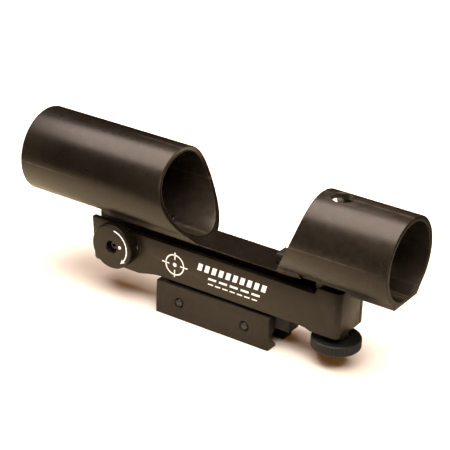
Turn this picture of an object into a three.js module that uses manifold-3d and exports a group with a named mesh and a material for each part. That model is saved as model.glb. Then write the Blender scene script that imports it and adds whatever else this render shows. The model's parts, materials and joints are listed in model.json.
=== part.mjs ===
// Red dot finder: a split sight tube on a tilting arm, carried by a channel housing on a rail clamp.
// Millimetres, +Z up. The eye looks in from +X along the tube, the front lens is at the -X end, and the
// azimuth knob is on the -Y side. Pieces are drawn with z = 0 on the tube's axis. The finished group is
// then moved so that its origin is the middle of the seat that rests on a rail.

import * as THREE from 'three';
import { mergeVertices } from 'three/addons/utils/BufferGeometryUtils.js';
import Module from 'manifold-3d';

const wasm = await Module();
wasm.setup();

// ---------------------------------------------------------------- driving dimensions
// Sight tube
const TUBE_R = 16;             // outside
const BORE_R = 14;             // inside
const TUBE_FRONT = -94.7;      // lens end
const TUBE_REAR = 59.2;        // eye end
const TUBE_CHAMFER = 0.5;      // on the two square ends
const FLAT_Z = -15.4;          // flat underside of the extrusion
const FLAT_HALF = 7.8;         // half width of that flat
const FLANK = [10.5, -12.07];  // where the flanks of the flat run into the round
const FLAT_FRONT = -61.7;        // the near flank starts here, above the housing's open end
const FLAT_REAR = 11;          // the far flank is only on the rear tube
const STRIP_TOP = -14.7;       // floor strip left between the two tubes
const STRIP_FAR = 5.6;         // far edge of the strip
const WINDOW_FRONT = -33.6;    // front edge of the window at the top of the tube
const WINDOW_REAR = 24.4;      // rear edge of the window at the top of the tube
const SLOPE_FRONT = { from: 12, rate: 0.0178 };   // the edges lean in with the square of the depth
const SLOPE_REAR = { from: 15.5, rate: 0.013 };

// Optics
const LENS_X = -84;
const LENS_R = 13.6;
const LENS_TILT = 0.035;       // radians off square, so that the dot's reflection goes to the eye
const LENS_EDGE = 1;           // half thickness at the rim
const LENS_BULGE = 0.7;        // extra half thickness in the middle
const RING_BORE = 12;          // clear opening of the two lens rings
const LED_AXIS = [0, -12.6];   // Y and Z of the LED's axis, which runs along X
const LED_FRONT = 9.4;         // front face of the LED's block
const LED_LENGTH = 8;
const LED_HALF = 3.3;
const LED_TOP = -10.9;

// Channel housing
const HOUSE_HALF = 7.55;       // half width
const HOUSE_WALL = 1.95;
const HOUSE_LEFT = -67.8;
const HOUSE_RIGHT = 38.3;
const HOUSE_TOP = -19.1;
const HOUSE_BOTTOM = -33.1;
const REAR_TOP = -16.6;        // the raised rear end, clear of the tube when it tilts right down
const FLOOR_Z = -31.1;         // inside floor of the channel
const CHANNEL_END = 36.9;      // inside face of the rear end wall
const CORNER_R = 2.4;          // rounded upright corners at the rear end
const PLAN_SPAN = [-38, -14];  // heights past the housing's bottom and top, for its rounded plan
const REAR_FOOT = [            // the underside steps down a little at the rear end
  [22.2, HOUSE_BOTTOM], [25, -33.4], [27.2, -34.1], [HOUSE_RIGHT, -34.1]];
const HOUSE_SIDE = [           // outline of the housing seen from the side
  [HOUSE_LEFT, -17.8], [HOUSE_LEFT + 1.4, -34.2], [HOUSE_LEFT + 2.2, -34.9], [-46, -34.9], [-41, -33.7],
  [-37.5, HOUSE_BOTTOM], ...REAR_FOOT,
  [HOUSE_RIGHT, REAR_TOP], [29.2, REAR_TOP], [28.2, HOUSE_TOP], [-57, HOUSE_TOP], [-58.5, -17.8]];

// Adjusters
const TILT_X = -48.5;          // altitude pivot, across the housing
const TILT_Z = -25;            // height of the altitude pivot and of the azimuth screw
const SWING_X = 32.5;          // azimuth pivot, upright
const AZ_X = -55.2;            // azimuth screw, across the housing
const ALT_X = 33.8;            // altitude screw, upright
const SCREW_R = 1.5;           // both adjusting screws, and the clamp screws
const AZ_KNOB_R = 8.7;
const AZ_FACE = 12.6;          // outer face of the azimuth knob, on the -Y side
const AZ_BACK = 8;             // its inner face
const ALT_KNOB_R = 9;
const ALT_KNOB_TOP = -36.7;
const ALT_KNOB_BOTTOM = -40.8;
const BUSH_R = 3;
const ARM_HALF = 2.2;          // half width of the tilting arm
const ARM_Z = [-27, -22.8];    // its underside and top
const PIVOT_END = -20;         // lower end of the azimuth pivot screw
const ALT_SCREW_TOP = -22.4;   // stays under the pivot screw when the arm is tilted right down

// Rail clamp
const SEAT_Z = -40.5;          // seat that rests on the rail
const FOOT_X = -13.3;          // middle of the clamp
const JAW_HALF = 24.3;         // half length of the jaws
const JAW_TOP = -34.4;
const JAW_BOTTOM = -47.6;
const JAW_FACE = 8.1;          // outer face of the jaws
const JAW_BACK = 3.7;          // inner face of the jaws, against the base bar
const LIP_EDGE = 2.6;          // inward edge of the lip that goes under the rail
const BAR_HALF = 3.6;          // half width of the base bar
const BAR_ENDS = [-36, 16.6];
const CLAMP_SCREWS = [-27.6, 0.6];
const CLAMP_Z = -41;
const KEEL_SCREWS = [-48, -38];
const KEEL_FRONT = -67.6;
const BASE_SCREWS = [-20, -5];
const TAP_R = 1.1;             // holes of the small keel screws

// Side cover on the far wall, with the battery and the dimmer
const COVER_LEFT = -22;
const COVER_FACE = 11;         // outer face of the cover
const COVER_TOP = -19.6;
const COVER_SCREWS = [-18.5, 33.2];
const COVER_SCREW_R = 1;
const COVER_HEAD_R = 1.9;
const COVER_HEAD_DEPTH = 1.3;
const CELL_SEAT_R = 5.25;      // bore that the battery cell sits in
const BATTERY_X = -8;
const DIMMER_X = 14;
const SIDE_Z = -26.1;          // middle height of the battery, the dimmer and the cover screws

// Facets and fits
const ROUND = 72;              // facets of the large rounds
const MEDIUM = 36;
const SMALL = 20;
const GAP = 0.05;              // gap between faces that touch
const FIT = 0.1;               // clearance of a pin in its hole
const PAST = 1;                // how far a cutting tool reaches past the face it cuts

// ---------------------------------------------------------------- materials
const finish = (color, roughness, metalness = 0.6) =>
  new THREE.MeshStandardMaterial({ color, roughness, metalness });
const anodised = finish(0x2b2723, 0.42);
const anodisedDark = finish(0x1a1917, 0.5);
const blackKnob = finish(0x161817, 0.55, 0.3);
const steel = finish(0x8c8f92, 0.35, 0.9);
const blackSteel = finish(0x2e2b28, 0.45, 0.8);
const brass = finish(0xb08d45, 0.35, 0.9);
const nickel = finish(0xb9bcc0, 0.25, 0.9);
const blackPlastic = finish(0x121212, 0.6, 0);
const boardGreen = finish(0x1d5a3a, 0.6, 0);
const coatedGlass = finish(0x7a4a3c, 0.05, 0);
const redEpoxy = finish(0xb3121a, 0.2, 0);

// ---------------------------------------------------------------- solid helpers
function solidOf(geometry) {
  const bare = geometry.index ? geometry.toNonIndexed() : geometry.clone();
  bare.deleteAttribute('normal');
  bare.deleteAttribute('uv');
  const merged = mergeVertices(bare, 1e-4);
  return new wasm.Manifold(new wasm.Mesh({
    numProp: 3,
    vertProperties: new Float32Array(merged.attributes.position.array),
    triVerts: new Uint32Array(merged.index.array),
  }));
}

function geometryOf(solid) {
  const mesh = solid.getMesh();
  const geometry = new THREE.BufferGeometry();
  geometry.setAttribute('position', new THREE.BufferAttribute(mesh.vertProperties, 3));
  geometry.setIndex(new THREE.BufferAttribute(mesh.triVerts, 1));
  const flat = geometry.toNonIndexed();
  flat.computeVertexNormals();
  return flat;
}

const join = (first, ...others) => others.reduce((sum, solid) => sum.add(solid), first);
const cut = (first, ...others) => others.reduce((rest, solid) => rest.subtract(solid), first);

function box([x0, x1], [y0, y1], [z0, z1]) {
  const geometry = new THREE.BoxGeometry(x1 - x0, y1 - y0, z1 - z0);
  geometry.translate((x0 + x1) / 2, (y0 + y1) / 2, (z0 + z1) / 2);
  return solidOf(geometry);
}

// A solid of revolution about the Z axis from (radius, height) points that start and end on the axis.
const turned = (points, facets) =>
  new THREE.LatheGeometry(points.map(([r, h]) => new THREE.Vector2(r, h)), facets).rotateX(Math.PI / 2);

// The same about an axis parallel to X, Y or Z: heights run along that axis, centre is the other two.
function turnedAlong(axis, centre, points, facets = SMALL) {
  const geometry = turned(points, facets);
  if (axis === 'x') geometry.rotateY(Math.PI / 2).translate(0, centre[0], centre[1]);
  if (axis === 'y') geometry.rotateX(-Math.PI / 2).translate(centre[0], 0, centre[1]);
  if (axis === 'z') geometry.translate(centre[0], centre[1], 0);
  return solidOf(geometry);
}

const rod = (axis, centre, r, from, to, facets = SMALL) =>
  turnedAlong(axis, centre, [[0, from], [r, from], [r, to], [0, to]], facets);

const ring = (axis, centre, outer, inner, from, to, facets = SMALL) =>
  cut(rod(axis, centre, outer, from, to, facets),
    rod(axis, centre, inner, from - PAST, to + PAST, facets));

// An outline in the XZ plane carried across Y, and one in the YZ plane carried along X.
function plateXZ(outline, [y0, y1]) {
  const shape = new THREE.Shape(outline.map(([x, z]) => new THREE.Vector2(x, z)));
  const geometry = new THREE.ExtrudeGeometry(shape, { depth: y1 - y0, bevelEnabled: false });
  return solidOf(geometry.rotateX(Math.PI / 2).translate(0, y1, 0));
}

function plateYZ(outline, [x0, x1]) {
  const shape = outline instanceof THREE.Shape
    ? outline : new THREE.Shape(outline.map(([y, z]) => new THREE.Vector2(y, z)));
  const settings = { depth: x1 - x0, bevelEnabled: false, curveSegments: 6 };
  const geometry = new THREE.ExtrudeGeometry(shape, settings);
  return solidOf(geometry.rotateX(Math.PI / 2).rotateZ(Math.PI / 2).translate(x0, 0, 0));
}

// A plan drawn in XY stood up past the whole height of the housing, to round off its corners.
function standing(plan) {
  const [low, high] = PLAN_SPAN;
  const settings = { depth: high - low, bevelEnabled: false, curveSegments: 8 };
  return solidOf(new THREE.ExtrudeGeometry(plan, settings).translate(0, 0, low));
}

// A round wire of radius r along a smooth curve through the points.
function wire(points, r, steps, curveSegments) {
  const section = new THREE.Shape();
  section.absarc(0, 0, r, 0, Math.PI * 2);
  const route = new THREE.CatmullRomCurve3(points.map((point) => new THREE.Vector3(...point)));
  return solidOf(new THREE.ExtrudeGeometry(section, { steps, extrudePath: route, curveSegments }));
}

const mirrorY = (outline) => outline.map(([y, z]) => [-y, z]).reverse();
const span = (middle, half) => [middle - half, middle + half];

// ---------------------------------------------------------------- sight tube and its optics
function windowEdge(x0, slope, side) {
  const steps = 16;
  const [top, bottom] = [TUBE_R + 2, FLAT_Z - 1];
  return Array.from({ length: steps + 1 }, (_, step) => {
    const z = top + (bottom - top) * step / steps;
    const depth = Math.max(0, slope.from - z);
    return [x0 + side * slope.rate * depth * depth, z];
  });
}

// The open gap between the two tubes, which stops above the floor strip and takes its far side away.
function windowGap() {
  const front = windowEdge(WINDOW_FRONT, SLOPE_FRONT, 1);
  const rear = windowEdge(WINDOW_REAR, SLOPE_REAR, -1);
  const gap = plateXZ([...front, ...rear.reverse()], span(0, TUBE_R + 4));
  return cut(gap, box([-60, 60], [-TUBE_R - 4, STRIP_FAR], [FLAT_Z - 2, STRIP_TOP]));
}

// Room underneath the rear tube for the arm's block and the top edges of the housing.
function armRoom() {
  const half = 8.2;
  const outer = 13;
  const [low, high] = [-18, -11.7];
  const rear = 42;
  const endR = 2;
  const middle = box([20.9, rear], [-half, half], [low, -14.6]);
  const sides = [[-outer, -half], [half, outer]].flatMap((across) => [
    box([22.8, rear - endR], across, [low, high]),
    rod('y', [rear - endR, high - endR], endR, ...across),
    box([rear - endR - PAST, rear], across, [low, high - endR]),
  ]);
  return join(middle, ...sides);
}

function sightTube() {
  const outside = turnedAlong('x', [0, 0], [
    [0, TUBE_FRONT], [TUBE_R - TUBE_CHAMFER, TUBE_FRONT], [TUBE_R, TUBE_FRONT + TUBE_CHAMFER],
    [TUBE_R, TUBE_REAR - TUBE_CHAMFER], [TUBE_R - TUBE_CHAMFER, TUBE_REAR], [0, TUBE_REAR],
  ], ROUND);
  const [flankY, flankZ] = FLANK;
  const nearFlank = [[-flankY, flankZ], [-FLAT_HALF, FLAT_Z], [0, FLAT_Z], [0, flankZ]];
  const flat = join(plateYZ(nearFlank, [FLAT_FRONT, TUBE_REAR]),
    plateYZ(mirrorY(nearFlank), [FLAT_REAR, TUBE_REAR]));
  const below = box([TUBE_FRONT - PAST, TUBE_REAR + PAST], span(0, TUBE_R), [FLAT_Z - 3, FLAT_Z]);
  const bore = rod('x', [0, 0], BORE_R, TUBE_FRONT - PAST, TUBE_REAR + PAST, ROUND);
  const accessHole = rod('z', [SWING_X, 0], 4, 5, TUBE_R + PAST);
  const pivotHole = rod('z', [SWING_X, 0], 2.3, -18, -10);
  const leadHole = rod('z', [19.5, 0], 1.1, -18, -12);
  const keelHoles = KEEL_SCREWS.map((x) => rod('z', [x, 0], TAP_R, -17, -12));
  return cut(join(cut(outside, below), flat), bore, windowGap(), accessHole, pivotHole, leadHole,
    armRoom(), ...keelHoles);
}

function objectiveLens() {
  const face = (sign) => [0, 1, 2, 3].map((step) => {
    const share = step / 3;
    return [LENS_R * share, sign * (LENS_EDGE + LENS_BULGE * (1 - share ** 2))];
  });
  return solidOf(turned([...face(-1), ...face(1).reverse()], MEDIUM));
}

const lensRing = (from, to) => ring('x', [0, 0], BORE_R - FIT, RING_BORE, from, to, MEDIUM);

// The rib that is screwed under the tube, with a tab at the front for the azimuth nut.
function keel() {
  const half = 2.5;
  const rib = box([KEEL_FRONT, 16.5], span(0, half), [-20.5, FLAT_Z - GAP]);
  const tab = box([AZ_X - 3.2, AZ_X + 3], span(0, half), [-29.2, -20]);
  const nutSeat = rod('y', [AZ_X, TILT_Z], 2.45, -half - PAST, half + PAST);
  const screwHoles = KEEL_SCREWS.map((x) => rod('z', [x, 0], TAP_R, -19.6, -15));
  return cut(join(rib, tab), nutSeat, ...screwHoles);
}

const keelScrew = (x) => turnedAlong('z', [x, 0],
  [[0, -19.2], [1, -19.2], [1, -13.4], [2, -13.4], [2, -12.2], [0, -12.2]]);

// The block that carries the LED: rounded on top, with a foot on the floor strip.
function ledHousing() {
  const outline = new THREE.Shape();
  const round = 1.3;
  const bottom = -13.45;
  const corner = LED_HALF - round;
  outline.moveTo(-LED_HALF, bottom);
  outline.lineTo(LED_HALF, bottom);
  outline.absarc(corner, LED_TOP - round, round, 0, Math.PI / 2);
  outline.absarc(-corner, LED_TOP - round, round, Math.PI / 2, Math.PI);
  const block = plateYZ(outline, [LED_FRONT, LED_FRONT + LED_LENGTH]);
  const foot = box([LED_FRONT, LED_FRONT + 2.6], span(0, LED_HALF), [STRIP_TOP + GAP, bottom + 0.5]);
  const pocketEnd = 15.2;
  const pocket = rod('x', LED_AXIS, 1.35, LED_FRONT - PAST, pocketEnd, 16);
  const leadHole = rod('x', LED_AXIS, 0.6, pocketEnd - 0.2, LED_FRONT + LED_LENGTH + PAST, 12);
  return cut(join(block, foot), pocket, leadHole);
}

const led = () => turnedAlong('x', LED_AXIS,
  [[0, 10.6], [0.6, 10.75], [1, 11.2], [1.2, 12], [1.2, 15], [0, 15]]);
const pinhole = () => ring('x', LED_AXIS, 1.3, 0.3, LED_FRONT + 0.3, LED_FRONT + 0.7);

const ledLead = () => wire([
  [15.3, 0, -12.6], [17.8, 0, -12.6], [19.2, 0, -13.3], [19.5, 0, -15.6], [18.9, 1.6, -18],
  [14.5, 4, -19.4], [9, 4.1, -19.8], [6, 4.1, -20]], 0.45, 20, 4);

const azimuthNut = () => ring('y', [AZ_X, TILT_Z], 2.35, SCREW_R + 0.35, -2.6, 2.6);

// ---------------------------------------------------------------- housing
function housingPlan() {
  const plan = new THREE.Shape();
  const corner = HOUSE_RIGHT - CORNER_R;
  plan.moveTo(HOUSE_LEFT - PAST, -HOUSE_HALF);
  plan.lineTo(corner, -HOUSE_HALF);
  plan.absarc(corner, CORNER_R - HOUSE_HALF, CORNER_R, -Math.PI / 2, 0);
  plan.lineTo(HOUSE_RIGHT, HOUSE_HALF);
  plan.lineTo(HOUSE_LEFT - PAST, HOUSE_HALF);
  return standing(plan);
}

function housing() {
  const block = plateXZ(HOUSE_SIDE, span(0, HOUSE_HALF)).intersect(housingPlan());
  const inner = HOUSE_HALF - HOUSE_WALL;
  const channel = box([HOUSE_LEFT - PAST, CHANNEL_END], span(0, inner), [FLOOR_Z, -10]);
  const cellRecess = rod('y', [BATTERY_X, SIDE_Z], CELL_SEAT_R, 7.3, HOUSE_HALF + PAST, MEDIUM);
  const contactHole = rod('y', [BATTERY_X, SIDE_Z], 1.2, inner - PAST, 8);
  const dimmerHole = rod('y', [DIMMER_X, SIDE_Z], 1.8, inner - PAST, HOUSE_HALF + PAST);
  const pinHole = rod('y', [TILT_X, TILT_Z], SCREW_R + GAP, -HOUSE_HALF - PAST, HOUSE_HALF + PAST);
  const bushSeat = rod('y', [AZ_X, TILT_Z], BUSH_R + GAP, -HOUSE_HALF - PAST, -inner + PAST);
  const farBearing = rod('y', [AZ_X, TILT_Z], SCREW_R + FIT, inner - PAST, 7);
  const altitudeSeat = rod('z', [ALT_X, 0], BUSH_R + GAP, -36, -30);
  const baseHoles = BASE_SCREWS.map((x) => rod('z', [x, 0], 1.65, -36, -30));
  const coverHoles = COVER_SCREWS.map((x) =>
    rod('y', [x, SIDE_Z], COVER_SCREW_R + FIT, inner - PAST, HOUSE_HALF + PAST));
  return cut(block, channel, cellRecess, contactHole, dimmerHole,
    pinHole, bushSeat, farBearing, altitudeSeat, ...baseHoles, ...coverHoles);
}

const baseScrew = (x) => turnedAlong('z', [x, 0],
  [[0, -38.4], [1.5, -38.4], [1.5, -31.05], [2.7, -31.05], [2.7, -29.4], [0, -29.4]]);
const altitudePin = () => rod('y', [TILT_X, TILT_Z], SCREW_R, -7.4, 7.4);
const azimuthBush = () => ring('y', [AZ_X, TILT_Z], BUSH_R, SCREW_R + FIT, -7.5, -5.6);
const altitudeBush = () => ring('z', [ALT_X, 0], BUSH_R, SCREW_R + FIT, -34.05, FLOOR_Z);

// A compression spring round the altitude screw, between the floor and the arm.
function altitudeSpring() {
  const turns = 3.25;
  const coilR = 2.5;
  const wireR = 0.25;
  const [low, high] = [FLOOR_Z + 0.35, ARM_Z[0] - 0.4];
  const steps = 39;
  const points = Array.from({ length: steps + 1 }, (_, step) => {
    const share = step / steps;
    const turn = share * turns * Math.PI * 2;
    return [ALT_X + coilR * Math.cos(turn), coilR * Math.sin(turn), low + share * (high - low)];
  });
  return wire(points, wireR, steps, 3);
}

// ---------------------------------------------------------------- tilting arm
function tiltArm() {
  const eye = rod('y', [TILT_X, TILT_Z], 3, -ARM_HALF, ARM_HALF);
  const bar = box([TILT_X, 30], span(0, ARM_HALF), ARM_Z);
  const block = box([27, 36.5], span(0, 4.8), [ARM_Z[0], -14.8]);
  const pinHole = rod('y', [TILT_X, TILT_Z], SCREW_R + 0.06, -ARM_HALF - PAST, ARM_HALF + PAST);
  const pivotHole = rod('z', [SWING_X, 0], 1.65, PIVOT_END - 0.2, -10);
  const nutSeat = rod('z', [ALT_X, 0], 2.35, -28, -23.2);
  const screwRoom = rod('z', [ALT_X, 0], SCREW_R + 0.35, -24, PIVOT_END - 0.3);
  return cut(join(eye, bar, block), pinHole, pivotHole, nutSeat, screwRoom);
}

const altitudeNut = () => ring('z', [ALT_X, 0], 2.3, SCREW_R + 0.35, ARM_Z[0], -23.4);

// A shouldered screw that the rear tube swings on, slotted for a screwdriver through the access hole.
function pivotScrew() {
  const screw = turnedAlong('z', [SWING_X, 0],
    [[0, PIVOT_END], [1.5, PIVOT_END], [1.5, -14.8], [2, -14.8],
      [2, -13.2], [3.5, -13.2], [3.5, -11], [0, -11]]);
  return cut(screw, box(span(SWING_X, 4), span(0, 0.4), [-11.8, -10]));
}

// ---------------------------------------------------------------- knobs and adjusting screws
function azimuthKnob() {
  const chamfer = 0.5;
  const body = turnedAlong('y', [AZ_X, TILT_Z], [
    [0, -AZ_FACE], [AZ_KNOB_R - chamfer, -AZ_FACE], [AZ_KNOB_R, chamfer - AZ_FACE],
    [AZ_KNOB_R, -AZ_BACK - 0.4], [AZ_KNOB_R - 0.4, -AZ_BACK], [0, -AZ_BACK]], 40);
  const socket = rod('y', [AZ_X, TILT_Z], 2.3, -AZ_FACE - PAST, -9.6);
  return cut(body, socket, rod('y', [AZ_X, TILT_Z], SCREW_R + GAP, -10, -7));
}

const azimuthScrew = () => rod('y', [AZ_X, TILT_Z], SCREW_R, -10.6, 6.6, 24);

function altitudeKnob() {
  const neckR = 4;
  const neckTop = -34.5;
  const body = turnedAlong('z', [ALT_X, 0], [
    [0, ALT_KNOB_BOTTOM], [ALT_KNOB_R - 0.7, ALT_KNOB_BOTTOM], [ALT_KNOB_R, ALT_KNOB_BOTTOM + 0.7],
    [ALT_KNOB_R, ALT_KNOB_TOP - 0.5], [ALT_KNOB_R - 0.5, ALT_KNOB_TOP],
    [neckR, ALT_KNOB_TOP], [neckR, neckTop], [0, neckTop]], 40);
  return cut(body, rod('z', [ALT_X, 0], SCREW_R + GAP, -39, -30));
}

const altitudeScrew = () => rod('z', [ALT_X, 0], SCREW_R, -38.6, ALT_SCREW_TOP, 24);
const altitudeClip = () => ring('z', [ALT_X, 0], 2.1, SCREW_R + 0.04, FLOOR_Z + 0.1, FLOOR_Z + 0.35);

function dimmerKnob() {
  const [radius, back, face] = [6.1, COVER_FACE + 0.4, COVER_FACE + 4.2];
  const knob = turnedAlong('y', [DIMMER_X, SIDE_Z],
    [[0, back], [radius - 0.3, back], [radius, back + 0.4], [radius, face - 0.4], [radius - 0.4, face],
      [0, face]], 32);
  const stem = rod('y', [DIMMER_X, SIDE_Z], 1.5, 5.3, back + 1);
  const mark = box(span(DIMMER_X, 0.35), [face - 0.5, face + PAST], [SIDE_Z + 1.8, SIDE_Z + 7]);
  return cut(join(knob, stem), mark);
}

// ---------------------------------------------------------------- side cover
// A plate on the far wall that holds the battery. Its rear end carries the housing's outline on.
function sideCover() {
  const chamfer = 1.5;
  const outline = [
    [COVER_LEFT, COVER_TOP - chamfer], [COVER_LEFT, HOUSE_BOTTOM + chamfer],
    [COVER_LEFT + chamfer, HOUSE_BOTTOM], ...REAR_FOOT,
    [HOUSE_RIGHT, COVER_TOP], [COVER_LEFT + chamfer, COVER_TOP]];
  const plate = plateXZ(outline, [HOUSE_HALF + GAP, COVER_FACE]);
  const corner = HOUSE_RIGHT - CORNER_R;
  const plan = new THREE.Shape();
  plan.moveTo(COVER_LEFT - PAST, HOUSE_HALF - PAST);
  plan.lineTo(HOUSE_RIGHT, HOUSE_HALF - PAST);
  plan.lineTo(HOUSE_RIGHT, COVER_FACE - CORNER_R);
  plan.absarc(corner, COVER_FACE - CORNER_R, CORNER_R, 0, Math.PI / 2);
  plan.lineTo(COVER_LEFT - PAST, COVER_FACE);
  const rounded = plate.intersect(standing(plan));
  const past = [HOUSE_HALF - PAST, COVER_FACE + PAST];
  const screwHoles = COVER_SCREWS.flatMap((x) => [
    rod('y', [x, SIDE_Z], COVER_SCREW_R + FIT, ...past),
    rod('y', [x, SIDE_Z], COVER_HEAD_R + FIT, COVER_FACE - COVER_HEAD_DEPTH - GAP, past[1])]);
  return cut(rounded, rod('y', [BATTERY_X, SIDE_Z], CELL_SEAT_R, ...past, MEDIUM),
    rod('y', [DIMMER_X, SIDE_Z], 1.8, ...past), ...screwHoles);
}

function coverScrew(x) {
  const [tip, neck, face] = [6, COVER_FACE - COVER_HEAD_DEPTH, COVER_FACE - 0.1];
  const screw = turnedAlong('y', [x, SIDE_Z], [
    [0, tip], [COVER_SCREW_R, tip], [COVER_SCREW_R, neck], [COVER_HEAD_R, neck], [COVER_HEAD_R, face],
    [0, face]]);
  return cut(screw, box(span(x, 3), [face - 0.5, face + PAST], span(SIDE_Z, 0.25)));
}

// ---------------------------------------------------------------- electronics
const batteryCell = () => rod('y', [BATTERY_X, SIDE_Z], 5, 7.75, 10.25, 32);
const batteryContact = () => join(
  rod('y', [BATTERY_X, SIDE_Z], 3, 7.35, 7.65), rod('y', [BATTERY_X, SIDE_Z], 0.9, 5.5, 7.5));

function batteryCap() {
  const flange = rod('y', [BATTERY_X, SIDE_Z], 6.6, 11.1, 12.7, MEDIUM);
  const plug = rod('y', [BATTERY_X, SIDE_Z], 4.9, 10.45, 11.3, MEDIUM);
  const coinSlot = box(span(BATTERY_X, 5), [11.9, 14], span(SIDE_Z, 0.6));
  return cut(join(flange, plug), coinSlot);
}

function circuitBoard() {
  const board = box([-28, 7.5], [4.5, 5.3], [-30.6, -21.4]);
  const chip = box([-22, -17], [3.5, 4.6], [-28, -24]);
  const parts = [-13, -2.5, 2.5].map((x) => box([x, x + 2], [3.7, 4.6], [-26.5, -25.3]));
  return cut(join(board, chip, ...parts), rod('y', [BATTERY_X, SIDE_Z], 1.2, 3, 6));
}

const potentiometer = () => box(span(DIMMER_X, 4.5), [3, 5.1], span(SIDE_Z, 4.5));

// ---------------------------------------------------------------- rail clamp
function baseBar() {
  const chamfer = 0.6;
  const top = HOUSE_BOTTOM - GAP;
  const outline = [
    [-BAR_HALF, top], [-BAR_HALF, SEAT_Z + chamfer], [chamfer - BAR_HALF, SEAT_Z],
    [BAR_HALF - chamfer, SEAT_Z], [BAR_HALF, SEAT_Z + chamfer], [BAR_HALF, top]];
  const grooves = CLAMP_SCREWS.map((x) => rod('y', [x, CLAMP_Z], SCREW_R + 0.2, -5, 5));
  const threads = BASE_SCREWS.map((x) => rod('z', [x, 0], 1.6, -38.8, -32));
  return cut(plateYZ(outline, BAR_ENDS), ...grooves, ...threads);
}

const JAW_EDGE = 0.4;          // chamfer of the jaws' long outer edges
const JAW_OUTLINE = [          // section of the near jaw: outer face, lip, undercut, inner face, top
  [-JAW_FACE, JAW_TOP - JAW_EDGE], [-JAW_FACE, JAW_BOTTOM + JAW_EDGE], [JAW_EDGE - JAW_FACE, JAW_BOTTOM],
  [-LIP_EDGE, JAW_BOTTOM], [-LIP_EDGE, JAW_BOTTOM + 0.8], [-6.1, -43.3], [-JAW_BACK, -39.9],
  [-JAW_BACK, JAW_TOP], [JAW_EDGE - JAW_FACE, JAW_TOP]];

function jaw(outline) {
  const reach = JAW_FACE + 2;
  const holes = CLAMP_SCREWS.map((x) => rod('y', [x, CLAMP_Z], SCREW_R + FIT, -reach, reach));
  return cut(plateYZ(outline, span(FOOT_X, JAW_HALF)), ...holes);
}

const nearJaw = () => jaw(JAW_OUTLINE.slice().reverse());
const farJaw = () => jaw(mirrorY(JAW_OUTLINE).reverse());

function clampScrew(x) {
  const headR = 4.3;
  const headEdge = 0.3;
  const [tip, headBack, headFace] = [-JAW_FACE - 0.3, 8.2, 12.5];
  const screw = turnedAlong('y', [x, CLAMP_Z], [
    [0, tip], [1.2, tip + 0.2], [SCREW_R, tip + 0.7], [SCREW_R, headBack], [headR - headEdge, headBack],
    [headR, headBack + headEdge], [headR, headFace - headEdge], [headR - headEdge, headFace],
    [0, headFace]], 32);
  return cut(screw, box(span(x, 0.4), [headFace - 0.9, headFace + PAST], span(CLAMP_Z, 5)));
}

// ---------------------------------------------------------------- assembly
const finder = new THREE.Group();
finder.position.set(-FOOT_X, 0, -SEAT_Z);

function add(name, solid, material) {
  const mesh = new THREE.Mesh(geometryOf(solid), material);
  mesh.name = name;
  finder.add(mesh);
  return mesh;
}

const addEach = (name, places, make, material) =>
  places.forEach((x, index) => add(`${name}_${index + 1}`, make(x), material));

add('sight_tube', sightTube(), anodised);
const lens = add('objective_lens', objectiveLens(), coatedGlass);
lens.rotation.set(0, Math.PI / 2 + LENS_TILT, 0);
lens.position.set(LENS_X, 0, 0);
add('lens_front_ring', lensRing(-88, -85.8), anodisedDark);
add('lens_seat_ring', lensRing(-82.2, -79.5), anodisedDark);
add('keel', keel(), anodisedDark);
addEach('keel_screw', KEEL_SCREWS, keelScrew, steel);
add('azimuth_nut', azimuthNut(), brass);
add('led_housing', ledHousing(), blackPlastic);
add('led', led(), redEpoxy);
add('pinhole_disc', pinhole(), steel);
add('led_lead', ledLead(), blackPlastic);

add('housing', housing(), anodised);
add('side_cover', sideCover(), anodised);
addEach('cover_screw', COVER_SCREWS, coverScrew, blackSteel);
add('altitude_pin', altitudePin(), steel);
add('azimuth_bush', azimuthBush(), brass);
add('altitude_bush', altitudeBush(), brass);
add('altitude_spring', altitudeSpring(), steel);
addEach('base_screw', BASE_SCREWS, baseScrew, steel);
add('circuit_board', circuitBoard(), boardGreen);
add('dimmer_potentiometer', potentiometer(), blackPlastic);
add('battery_cell', batteryCell(), nickel);
add('battery_contact', batteryContact(), nickel);
add('battery_cap', batteryCap(), anodised);
add('dimmer_knob', dimmerKnob(), blackKnob);

add('tilt_arm', tiltArm(), anodisedDark);
add('altitude_nut', altitudeNut(), brass);
add('azimuth_pivot_screw', pivotScrew(), steel);
add('azimuth_knob', azimuthKnob(), anodised);
add('azimuth_screw', azimuthScrew(), blackSteel);
add('altitude_knob', altitudeKnob(), blackKnob);
add('altitude_screw', altitudeScrew(), steel);
add('altitude_clip', altitudeClip(), steel);

add('base_bar', baseBar(), anodisedDark);
add('near_jaw', nearJaw(), anodised);
add('far_jaw', farJaw(), anodised);
addEach('clamp_screw', CLAMP_SCREWS, clampScrew, blackSteel);

export default finder;
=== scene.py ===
# The looks of the red dot finder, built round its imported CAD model.
# Shapes are drawn in millimetres: x runs along the sight tube to the eye end, z = 0 is the tube's
# axis, and the azimuth knob is on the -Y side. TO_FRAME carries a finished mesh from there to the
# frame, in metres.

import json
import math

import bmesh
import bpy
from mathutils import Matrix, Vector

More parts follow.
